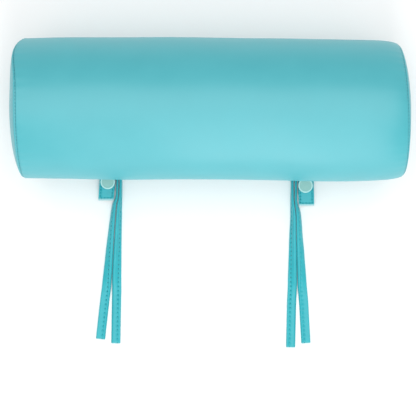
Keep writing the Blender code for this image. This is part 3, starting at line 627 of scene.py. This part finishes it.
def swell_at(row, turn):
    """The swelling between its rows and columns."""
    row, column = np.broadcast_arrays(row, turn / (2 * math.pi) * SIM_COLUMNS)
    low_row, low_column = np.floor(row).astype(int), np.floor(column).astype(int)
    total = np.zeros((*row.shape, 3))
    for i, by_row in enumerate(cubic_weights(row - low_row)):
        for j, by_column in enumerate(cubic_weights(column - low_column)):
            here = np.clip(low_row + i - 1, 0, SIM_ROWS - 1), (low_column + j - 1) % SIM_COLUMNS
            total += (by_row * by_column)[..., None] * swell[here]
    return total


def cover_skin(row, turn, inset=0.0):
    """The cover's outside with its swelling.  Rolled-in edges keep clear of the table."""
    points = cover_shape(row, turn, inset) + swell_at(row, turn)
    points[..., 2] = np.maximum(points[..., 2], LOWEST + 0.6 * np.asarray(inset))
    return points


def spread(length, pitch):
    """Places from 0 to 1 along a length, close together near both ends."""
    near = [0, 0.3, 0.6, 0.9, 1.2, 1.6, 2.2, 3.2, 4.5, 6, 8, 10.5, 13.5, 17, 21, 25]
    near = np.array(near) * MM / length
    middle = np.linspace(near[-1], 1 - near[-1], round((length - 2 * 25 * MM) / pitch) + 1)
    return np.concatenate([near[:-1], middle, (1 - near[:-1])[::-1]])


def rolled(away):
    """How deep a panel's edge is rolled in, this far from the seam."""
    return SEAM_DEPTH * np.exp(-(away / (0.9 * MM)) ** 2)


def close_cover(name, mesh):
    """Give a panel its thickness, and let it stand for its solid."""
    made = add_piece(name + "_vinyl", mesh, "cushion", "vinyl", cover_vinyl)
    skin = made.modifiers.new("thickness", "SOLIDIFY")
    skin.thickness = COVER_THICKNESS
    skin.offset = -1.0
    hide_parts(name)
    return made


def sleeve_panel(name, start, end, zip_at_start):
    """The sleeve's panel between two angles, with its share of the zip's opening along one edge."""
    places = spread(SLEEVE_LENGTH, 3.6 * MM)
    row = (LEFT_SEAM_ROW + (RIGHT_SEAM_ROW - LEFT_SEAM_ROW) * places)[:, None]
    x = cover_shape(row, ZIP_SEAM)[..., 0]
    hairline = SEAM_HAIRLINE / COVER_RADIUS
    opened = ease((ZIP_REACH + 5 * MM - np.abs(x)) / (6 * MM))
    opening = (SEAM_HAIRLINE + ZIP_OPENING * opened) / COVER_RADIUS
    first = start + (opening if zip_at_start else hairline)
    last = end - (hairline if zip_at_start else opening)
    across = spread((end - start) * COVER_RADIUS, 2.4 * MM)[None, :]
    turn = first + (last - first) * across
    to_end = np.minimum(places, 1 - places)[:, None] * SLEEVE_LENGTH
    to_side = np.minimum(turn - first, last - turn) * COVER_RADIUS
    points = cover_skin(row, turn, np.maximum(rolled(to_end), rolled(to_side)))
    return close_cover(name, skin_mesh(name, points))


def end_panel(name, tip_row, seam_row):
    """A round panel that crowns out from its seam."""
    near = [0, 0.3, 0.6, 0.9, 1.2, 1.6, 2.1, 2.7, 3.5, 4.5, 5.7, 7.2, 9, 11, 13.5, 16.5, 20, 24]
    away = np.concatenate([near, np.arange(28, 74, 4)]) * MM
    row = seam_row + (tip_row - seam_row) * away / COVER_RADIUS
    turn = np.arange(END_COLUMNS)[None, :] * 2 * math.pi / END_COLUMNS
    points = cover_skin(row[:, None], turn, rolled(away)[:, None])
    tip = cover_skin(np.array([tip_row]), np.array([0.0]))[0]
    if tip_row < seam_row:
        mesh = skin_mesh(name, points[::-1], wrap=True, start_pole=tip)
    else:
        mesh = skin_mesh(name, points, wrap=True, end_pole=tip)
    return close_cover(name, mesh)


sleeve_panel("cover_base_panel", FRONT_SEAM, ZIP_SEAM, zip_at_start=False)
sleeve_panel("cover_top_panel", ZIP_SEAM, 2 * math.pi + FRONT_SEAM, zip_at_start=True)
end_panel("left_end_panel", 0.0, LEFT_SEAM_ROW)
end_panel("right_end_panel", LAST_ROW, RIGHT_SEAM_ROW)

for seam_name, seam_row in (("left", LEFT_SEAM_ROW), ("right", RIGHT_SEAM_ROW)):
    seam_turns = np.linspace(0, 2 * math.pi, 361)
    ring = cover_skin(np.array(seam_row), seam_turns, END_THREAD_INSET)
    inner_ring = cover_skin(np.array(seam_row), seam_turns, END_THREAD_INSET + 2 * MM)
    outwards = [Vector(a - b).normalized() for a, b in zip(ring, inner_ring)]
    seam_line = list(zip(ring, outwards))
    sew(f"{seam_name}_end_stitches", "cushion", "vinyl", seam_thread, [seam_line], END_STITCH_PITCH,
        1.9 * MM, 0.7 * MM, 0.7 * MM)

# ---- Filling ------------------------------------------------------------------------------------
# A round core of cream foam, in a wrap of white polyester wadding.  Neither shows in use, but both
# fill the cover and give it its rounded edges.
CORE_INSET = 12.0 * MM
WADDING_INSET = 2.6 * MM
WADDING_INNER = 11.4 * MM
TAPE_BED = 71.0 * MM            # from the axis to the relief that the zip's tapes lie in
TAPE_BED_REACH = 172.5 * MM
TAPE_BED_HALF = 15.6 * MM


def fibre_material(name, deep, pale, size, depth):
    """Open foam or wadding: soft clumps, with a matt and slightly furry surface."""
    made, nodes, links, shader, place = start_material(name)
    clumps = nodes.new("ShaderNodeTexNoise")
    clumps.inputs["Scale"].default_value = 1.0 / size
    clumps.inputs["Detail"].default_value = 8.0
    clumps.inputs["Roughness"].default_value = 0.7
    links.new(place, clumps.inputs["Vector"])
    colour_by(nodes, links, shader, clumps.outputs["Fac"], deep, pale)
    raise_by(nodes, links, shader, clumps.outputs["Fac"], depth)
    shader.inputs["Roughness"].default_value = 0.95
    shader.inputs["Sheen Weight"].default_value = 0.2
    return made


foam = fibre_material("cream_foam", (0.70, 0.62, 0.42), (0.88, 0.81, 0.62), 2.0 * MM, 0.3 * MM)
wadding = fibre_material("white_wadding", (0.78, 0.78, 0.76), (0.93, 0.93, 0.92), 6.0 * MM, 0.8 * MM)

core_rows = np.arange(1.0, LAST_ROW, 1.0)[:, None]
core_turns = np.arange(96)[None, :] * 2 * math.pi / 96
core_points = cover_shape(core_rows, core_turns, CORE_INSET)
core_tips = cover_shape(np.array([0.0, LAST_ROW]), 0.0, CORE_INSET)
core_mesh = skin_mesh("foam_core", core_points, True, core_tips[0], core_tips[1])
core = add_piece("foam_roll", core_mesh, "cushion", "foam", foam)
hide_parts("foam_core")

wrap_rows = np.linspace(LEFT_SEAM_ROW + 0.4, RIGHT_SEAM_ROW - 0.4, 90)[:, None]
wrap_turns = np.arange(128)[None, :] * 2 * math.pi / 128
wrap_outside = cover_shape(wrap_rows, wrap_turns, WADDING_INSET)
wrap_inside = cover_shape(wrap_rows[::-1], wrap_turns, WADDING_INNER)
from_zip = (wrap_turns - ZIP_SEAM) * np.ones_like(wrap_rows)
off_axis = wrap_outside - np.array([0.0, 0.0, AXIS_HEIGHT])
distance = np.hypot(off_axis[..., 1], off_axis[..., 2])
bedded = np.abs(from_zip) * COVER_RADIUS < TAPE_BED_HALF
bedded &= np.abs(wrap_outside[..., 0]) < TAPE_BED_REACH
pressed_to = np.where(bedded, np.minimum(distance, TAPE_BED / np.cos(from_zip)), distance)
wrap_outside[..., 1:] = (off_axis * (pressed_to / distance)[..., None])[..., 1:]
wrap_outside[..., 2] += AXIS_HEIGHT
wrap_loop = np.concatenate([wrap_outside, wrap_inside, wrap_outside[:1]])
wrap_mesh = skin_mesh("wadding_wrap", wrap_loop, wrap=True)
wrap_shape = bmesh.new()
wrap_shape.from_mesh(wrap_mesh)
bmesh.ops.remove_doubles(wrap_shape, verts=wrap_shape.verts, dist=0.001 * MM)
bmesh.ops.recalc_face_normals(wrap_shape, faces=wrap_shape.faces)
wrap_shape.to_mesh(wrap_mesh)
wrap_shape.free()
wrap = add_piece("wadding_roll", wrap_mesh, "cushion", "wadding", wadding)
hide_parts("wadding_wrap")

# ---- Zip ----------------------------------------------------------------------------------------
# A closed coil zip lies in the back seam: two woven tapes, a nylon coil sewn to each, metal stops,
# and a slider with a pull that hangs from its lug.
COIL_PITCH = 1.5 * MM
COIL_WIRE = 0.24 * MM
COIL_RADIUS = 0.74 * MM
COIL_SIDE = 0.98 * MM           # each coil's middle, from the zip's middle
COIL_START, COIL_END = -155.7 * MM, 155.7 * MM
COIL_FROM_AXIS = 73.29 * MM
WAVE_SCALE = 0.314              # a wave texture's scale for one band in a metre
ZIP_FRAME = Matrix.Translation((0.0, 0.0, AXIS_HEIGHT)) @ Matrix.Rotation(ZIP_SEAM, 4, "X")


def woven_material(name, warp, weft, pitch):
    """A tightly woven tape, its threads running along and across it."""
    made, nodes, links, shader, place = start_material(name)
    turned = nodes.new("ShaderNodeMapping")
    turned.inputs["Rotation"].default_value = (-ZIP_SEAM, 0.0, 0.0)
    links.new(place, turned.inputs["Vector"])
    over = nodes.new("ShaderNodeMath")
    over.operation = "MULTIPLY"
    for socket, direction in enumerate("XY"):
        wave = nodes.new("ShaderNodeTexWave")
        wave.bands_direction = direction
        wave.inputs["Scale"].default_value = WAVE_SCALE / pitch
        links.new(turned.outputs["Vector"], wave.inputs["Vector"])
        links.new(wave.outputs["Fac"], over.inputs[socket])
    colour_by(nodes, links, shader, over.outputs["Value"], weft, warp)
    raise_by(nodes, links, shader, over.outputs["Value"], 0.12 * MM)
    shader.inputs["Roughness"].default_value = 0.85
    return made


def moulded_material(name, colour, worn, roughness, metallic=0.0):
    """Moulded plastic or plated metal, with faint handling marks."""
    made, nodes, links, shader, place = start_material(name)
    marks = nodes.new("ShaderNodeTexNoise")
    marks.inputs["Scale"].default_value = 260.0
    marks.inputs["Detail"].default_value = 6.0
    links.new(place, marks.inputs["Vector"])
    colour_by(nodes, links, shader, marks.outputs["Fac"], worn, colour)
    roughen_by(nodes, links, shader, marks.outputs["Fac"], roughness - 0.08, roughness + 0.10)
    raise_by(nodes, links, shader, marks.outputs["Fac"], 0.01 * MM)
    shader.inputs["Metallic"].default_value = metallic
    return made


tape_weave = woven_material("zip_tape_weave", (0.05, 0.42, 0.48), (0.01, 0.22, 0.27), 0.55 * MM)
coil_nylon = moulded_material("coil_nylon", (0.05, 0.44, 0.50), (0.03, 0.36, 0.42), 0.40)
zip_nickel = moulded_material("zip_nickel", (0.66, 0.66, 0.64), (0.52, 0.52, 0.50), 0.28, 1.0)


def coil_tree():
    """A node tree that winds a nylon wire into one half of a zip's coil, along X."""
    tree = bpy.data.node_groups.new("zip_coil", "GeometryNodeTree")
    tree.interface.new_socket("Start", in_out="INPUT", socket_type="NodeSocketGeometry")
    for name in ("Turns", "Coil Radius", "Length", "Wire Radius"):
        tree.interface.new_socket(name, in_out="INPUT", socket_type="NodeSocketFloat")
    tree.interface.new_socket("Nylon", in_out="INPUT", socket_type="NodeSocketMaterial")
    tree.interface.new_socket("Coil", in_out="OUTPUT", socket_type="NodeSocketGeometry")
    nodes, links = tree.nodes, tree.links
    given, made = nodes.new("NodeGroupInput"), nodes.new("NodeGroupOutput")
    helix = nodes.new("GeometryNodeCurveSpiral")
    helix.inputs["Resolution"].default_value = 12
    links.new(given.outputs["Turns"], helix.inputs["Rotations"])
    links.new(given.outputs["Coil Radius"], helix.inputs["Start Radius"])
    links.new(given.outputs["Coil Radius"], helix.inputs["End Radius"])
    links.new(given.outputs["Length"], helix.inputs["Height"])
    lie = nodes.new("GeometryNodeTransform")
    lie.inputs["Rotation"].default_value = (0.0, math.radians(90), 0.0)
    links.new(helix.outputs["Curve"], lie.inputs["Geometry"])
    wire = nodes.new("GeometryNodeCurvePrimitiveCircle")
    wire.inputs["Resolution"].default_value = 6
    links.new(given.outputs["Wire Radius"], wire.inputs["Radius"])
    solid = nodes.new("GeometryNodeCurveToMesh")
    solid.inputs["Fill Caps"].default_value = True
    links.new(lie.outputs["Geometry"], solid.inputs["Curve"])
    links.new(wire.outputs["Curve"], solid.inputs["Profile Curve"])
    real = nodes.new("GeometryNodeRealizeInstances")
    links.new(solid.outputs["Mesh"], real.inputs["Geometry"])
    coat = nodes.new("GeometryNodeSetMaterial")
    links.new(real.outputs["Geometry"], coat.inputs["Geometry"])
    links.new(given.outputs["Nylon"], coat.inputs["Material"])
    links.new(coat.outputs["Geometry"], made.inputs["Coil"])
    return tree


coil_winding = coil_tree()
coil_length = COIL_END - COIL_START - 2 * COIL_WIRE
for half, way in (("upper", 1), ("lower", -1)):
    coil_settings = {"Turns": coil_length / COIL_PITCH, "Coil Radius": COIL_RADIUS,
                     "Length": coil_length, "Wire Radius": COIL_WIRE, "Nylon": coil_nylon}
    coil_mesh = run_tree(f"coil_{half}", coil_winding, bpy.data.meshes.new("coil_start"), coil_settings)
    half_turn = Matrix.Rotation(0.0 if way > 0 else math.pi, 4, "X")
    coil_place = Matrix.Translation((COIL_START + COIL_WIRE, way * COIL_SIDE, -COIL_FROM_AXIS))
    coil_mesh.transform(ZIP_FRAME @ coil_place @ half_turn)
    coil = add_piece(f"coil_{half}", coil_mesh, "cushion", "zip_coil", coil_nylon)
    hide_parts(f"zip_coil_{half}")
    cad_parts[f"zip_tape_{half}"].data.materials.clear()
    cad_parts[f"zip_tape_{half}"].data.materials.append(tape_weave)


def worked_copy(node, body, slot, surface, edge):
    """A copy of a small hard part with its sharp edges rounded off."""
    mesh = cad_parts[node].data.copy()
    shape = bmesh.new()
    shape.from_mesh(mesh)
    bmesh.ops.remove_doubles(shape, verts=shape.verts, dist=0.002 * MM)
    bmesh.ops.dissolve_limit(
        shape, angle_limit=math.radians(2), verts=shape.verts, edges=shape.edges)
    shape.to_mesh(mesh)
    shape.free()
    mesh.materials.clear()
    made = add_piece(node + "_worked", mesh, body, slot, surface)
    rounding = made.modifiers.new("rounded_edges", "BEVEL")
    rounding.width = edge
    rounding.segments = 3
    rounding.limit_method = "ANGLE"
    rounding.angle_limit = math.radians(40)
    mesh.set_sharp_from_angle(angle=math.radians(50))
    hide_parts(node)
    return made


worked_copy("zip_slider", "slider", "zip_metal", zip_nickel, 0.3 * MM)
worked_copy("zip_pull", "pull", "zip_metal", zip_nickel, 0.25 * MM)
for stop_name in ("zip_top_stop_upper", "zip_top_stop_lower", "zip_bottom_stop"):
    worked_copy(stop_name, "cushion", "zip_metal", zip_nickel, 0.35 * MM)

# ---- Snap tabs ----------------------------------------------------------------------------------
# Two flat tabs of doubled vinyl come out of the front seam at each unit, one above the other, sewn
# round three sides.  The lower carries the stud, the upper the cap and socket.  Their ends are raw.
TAB_WIDTH = 17.0 * MM
TAB_THICKNESS = 1.3 * MM
TAB_FLAT_BEFORE = 9.0 * MM
TAB_FLAT_AFTER = 8.5 * MM
TAB_DROOP = 1.8 * MM
ANCHOR_PAST_SNAP = 11.0 * MM
TAB_HEM = 2.0 * MM
TAB_STITCH_PITCH = 3.4 * MM
TAB_SEAM_START = 4.0 * MM       # where a tab's sewing begins, from its root
TAB_EDGE = 0.25 * MM            # how far in from a tab's sides its flat faces stop
TAB_ROUTE_STEPS = 24
RAW_TAB_END = 2.1 * MM
ANCHOR_MIDDLE = 2.25 * MM
TAB_MIDDLE = 7.5 * MM
# Each unit: (tab's middle x at the seam, lean past the snap, snap's y, tab's end y).
UNITS = {
    "left": (-112.0 * MM, -0.075, -75.4 * MM, -95.6 * MM),
    "right": (105.4 * MM, 0.03, -79.3 * MM, -101.3 * MM),
}

tab_thread = thread_material("tab_thread", (0.005, 0.22, 0.27), (0.03, 0.34, 0.40))


def on_cover(turn, distance):
    return distance * math.sin(turn), AXIS_HEIGHT - distance * math.cos(turn)


def tab_frames(tab_x, lean, snap_y, turn, level, end_y, end_z):
    """(centre, across, up, run) from the front seam, over the flat at the snap, to the raw end."""
    leave = COVER_RADIUS + TOUCH_GAP
    flat_from, flat_to = snap_y + TAB_FLAT_BEFORE, snap_y - TAB_FLAT_AFTER
    root, knee = on_cover(turn, leave), on_cover(turn, leave + 3.5 * MM)
    fall = (knee[0] * 0.45 + flat_from * 0.55, knee[1] * 0.22 + level * 0.78)
    points = [root, knee, fall, (flat_from, level), (flat_to, level), (end_y, end_z)]
    centres = []
    for y, z in smooth_route(points, TAB_ROUTE_STEPS):
        z = level if flat_to < y < flat_from else z
        centres.append(Vector((tab_x + lean * max(snap_y - y, 0.0), y, z)))
    runs = runs_along(centres)
    frames = []
    for i, centre in enumerate(centres):
        along = centres[min(i + 1, len(centres) - 1)] - centres[max(i - 1, 0)]
        up = along.cross(Vector((1.0, 0.0, 0.0))).normalized()
        frames.append((centre, Vector((1.0, 0.0, 0.0)), up, runs[i]))
    return frames


def tab_section():
    """Two layers of vinyl laid flat, their cut edges level, with a hairline between them."""
    half, thick = TAB_WIDTH / 2, TAB_THICKNESS / 2
    top = [(a, thick - 0.12 * MM * math.exp(-((half - TAB_HEM - abs(a)) / (0.8 * MM)) ** 2))
           for a in np.linspace(-half + TAB_EDGE, half - TAB_EDGE, 39)]
    side = [(half, thick - 0.2 * MM), (half, 0.05 * MM), (half - TAB_EDGE, 0.0), (half, -0.05 * MM),
            (half, -thick + 0.2 * MM)]
    bottom = [(a, -h) for a, h in top[::-1]]
    return top + side + bottom + [(-a, h) for a, h in side[::-1]]


def make_tab(node, body, frames):
    """A tab swept along its frames, with its holes and thread round three sides."""
    length = frames[-1][3]
    hem = TAB_WIDTH / 2 - TAB_HEM
    last = length - TAB_HEM - 0.8 * MM
    corners = [(TAB_SEAM_START, -hem), (last, -hem), (last, hem), (TAB_SEAM_START, hem)]
    corner_runs = runs_along(corners)
    spaces = int(corner_runs[-1] / TAB_STITCH_PITCH)
    along_line = np.linspace(0, corner_runs[-1], spaces + 1)
    corners = np.array(corners)
    holes = np.stack([np.interp(along_line, corner_runs, corners[:, k]) for k in (0, 1)], axis=1)
    mesh = strap_mesh(node, frames, tab_section(), holes, length - RAW_TAB_END)
    tab = add_piece(node + "_strap", mesh, body, "strap_vinyl", strap_vinyl, cut_knit_and_highlight)
    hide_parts(node)

    fine = np.linspace(0, corner_runs[-1], 160)
    runs = [run for *_, run in frames]
    line = []
    for run, across in np.stack([np.interp(fine, corner_runs, corners[:, k]) for k in (0, 1)], axis=1):
        centre = np.array([np.interp(run, runs, [c[k] for c, *_ in frames]) for k in range(3)])
        up = np.array([np.interp(run, runs, [u[k] for _, _, u, _ in frames]) for k in range(3)])
        point = centre + np.array([across, 0, 0]) + up * (TAB_THICKNESS / 2 - 0.1 * MM)
        line.append((point, up))
    sew(node + "_stitches", body, "strap_vinyl", tab_thread, [line], TAB_STITCH_PITCH, 2.1 * MM,
        0.7 * MM, 0.6 * MM)


tabs_apart = (TAB_THICKNESS + 2 * TOUCH_GAP) / 2 / COVER_RADIUS
for unit_name, (tab_x, lean, snap_y, end_y) in UNITS.items():
    anchor_end = snap_y - ANCHOR_PAST_SNAP
    anchor = tab_frames(
        tab_x, lean, snap_y, FRONT_SEAM + tabs_apart, ANCHOR_MIDDLE, anchor_end, ANCHOR_MIDDLE)
    upper = tab_frames(
        tab_x, lean, snap_y, FRONT_SEAM - tabs_apart, TAB_MIDDLE, end_y, TAB_MIDDLE - TAB_DROOP)
    make_tab(f"{unit_name}_anchor_tab", f"{unit_name}_anchor", anchor)
    make_tab(f"{unit_name}_snap_tab", f"{unit_name}_tab", upper)

# ---- Snaps --------------------------------------------------------------------------------------
# Each snap is four moulded pieces in a pale mint plastic: a cap over a socket on the upper tab, and
# a stud over a back cap on the lower.  Each pair is riveted through its tab.  Cap rims carry a painted
# highlight.
SNAP_SIDES = 56
# Past this distance from its middle, the cap's rim is painted paler as a highlight.
RIM_HIGHLIGHT_FROM = 6.5 * MM         # from the cap's middle
snap_plastic = moulded_material("pale_snap_plastic", (0.34, 0.62, 0.57), (0.30, 0.56, 0.52), 0.34)
rim_highlight_plastic = moulded_material("rim_painted_highlight", (0.58, 0.88, 0.85), (0.50, 0.80, 0.78), 0.22)


def arc(middle, radius, start, end, steps=6):
    """(radius, height) points round a bead, by angle from straight out, up being positive."""
    turns = [math.radians(start + (end - start) * i / steps) for i in range(steps + 1)]
    return [(middle[0] + radius * math.cos(t), middle[1] + radius * math.sin(t)) for t in turns]


def snap_profiles(low, high):
    """Each piece's outline in mm as (radius, height), from its lowest middle point to its highest."""
    return {
        "snap_cap": [(0.9, low), (0.9, 8.45), (7.3, 8.45), *arc((7.3, 9.15), 0.7, -90, 100, 9),
                     (6.6, 9.75), (6.1, 9.62), (4.0, 9.66), (2.0, 9.7)],
        "snap_socket": [(2.6, 6.05), (2.6, 4.4), *arc((2.9, 4.4), 0.3, 180, 270, 3),
                        *arc((4.9, 4.4), 0.3, -90, 0, 3), *arc((4.8, 6.15), 0.4, 0, 90, 4), (1.2, 6.55)],
        "snap_stud": [(1.2, 3.2), *arc((4.8, 3.4), 0.2, -90, 0, 3), *arc((4.8, 3.6), 0.2, 0, 90, 3),
                      (1.75, 3.85), (1.55, 4.4), *arc((1.45, 5.3), 0.38, -30, 90, 6)],
        "snap_back_cap": [*arc((5.5, 0.75), 0.45, -90, 90, 8), (3.0, 1.25), (0.9, 1.3), (0.9, high)],
    }


for unit_name in UNITS:
    for piece, body in (("snap_cap", "tab"), ("snap_socket", "tab"), ("snap_stud", "anchor"),
                        ("snap_back_cap", "anchor")):
        node = f"{unit_name}_{piece}"
        lowest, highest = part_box(node)
        middle = (lowest + highest) / 2
        outline = snap_profiles(lowest.z / MM, highest.z / MM)[piece]
        turns = np.arange(SNAP_SIDES) * 2 * math.pi / SNAP_SIDES
        ringed = [
            np.stack([middle.x + r * MM * np.cos(turns), middle.y + r * MM * np.sin(turns),
                      np.full(SNAP_SIDES, h * MM)], axis=1)
            for r, h in outline
        ]
        foot = (middle.x, middle.y, outline[0][1] * MM)
        crown = (middle.x, middle.y, outline[-1][1] * MM)
        snap_mesh = skin_mesh(node, ringed, True, foot, crown)
        face_out(snap_mesh)
        from_middle = [(face.center.xy - middle.xy).length for face in snap_mesh.polygons]
        # Faces on the cap's rim take the paler colour of the painted highlight.
        in_rim_highlight = [int(piece == "snap_cap" and away > RIM_HIGHLIGHT_FROM) for away in from_middle]
        snap_mesh.polygons.foreach_set("material_index", in_rim_highlight)
        snap = add_piece(
            node + "_moulded", snap_mesh, f"{unit_name}_{body}", "snap_plastic", snap_plastic, rim_highlight_plastic)
        snap_mesh.set_sharp_from_angle(angle=math.radians(50))
        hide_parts(node)
